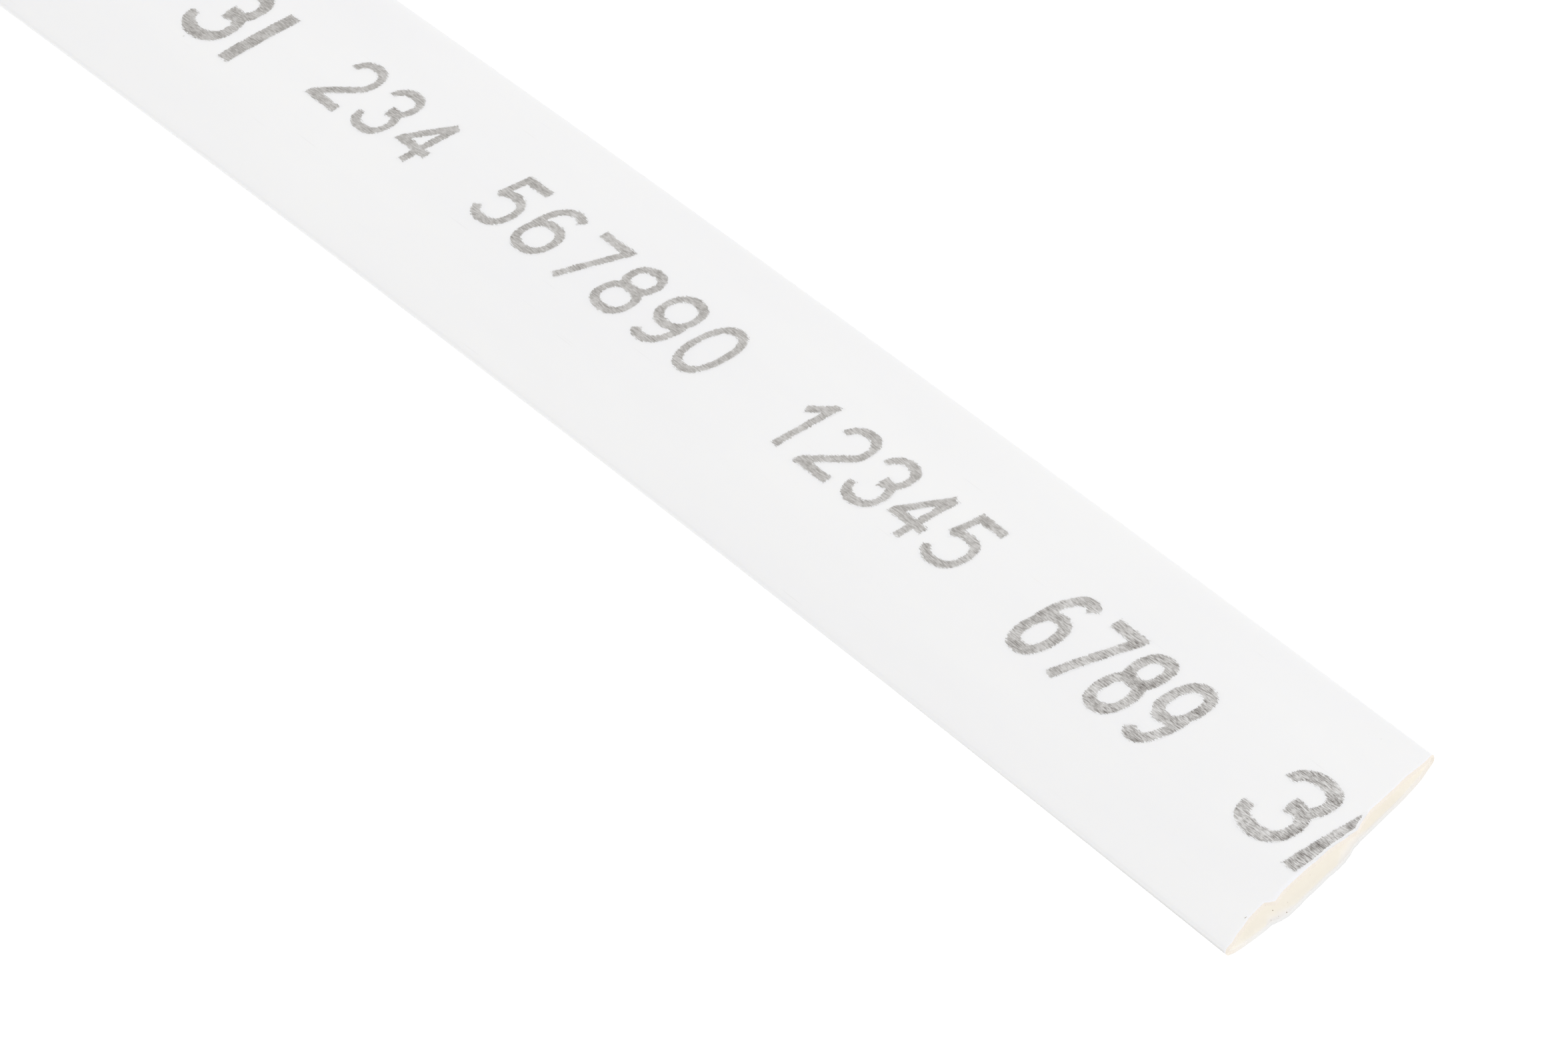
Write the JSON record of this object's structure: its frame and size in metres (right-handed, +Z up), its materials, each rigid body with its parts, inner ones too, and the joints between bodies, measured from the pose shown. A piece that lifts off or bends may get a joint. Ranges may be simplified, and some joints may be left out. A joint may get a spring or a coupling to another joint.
{
  "type": "heat shrink tube",
  "caption": "Thin-walled white heat shrink tube, laid flat in one long, gently bowed length, its scissors-cut end standing slightly open.",
  "frame": {"origin": "in the middle of the tube's box in plan, on the plane that it rests on", "axes": "+X along the tube towards its slanting scissors-cut end, +Y across it, the way its middle bows out, +Z up"},
  "size_m": [0.998, 0.0444, 0.0019],
  "materials": {
    "polyolefin": "satin white extruded polyolefin, ivory inside, plain numerals in silver hot foil"
  },
  "bodies": {
    "root": {"tube": "polyolefin"}
  },
  "joints": []
}
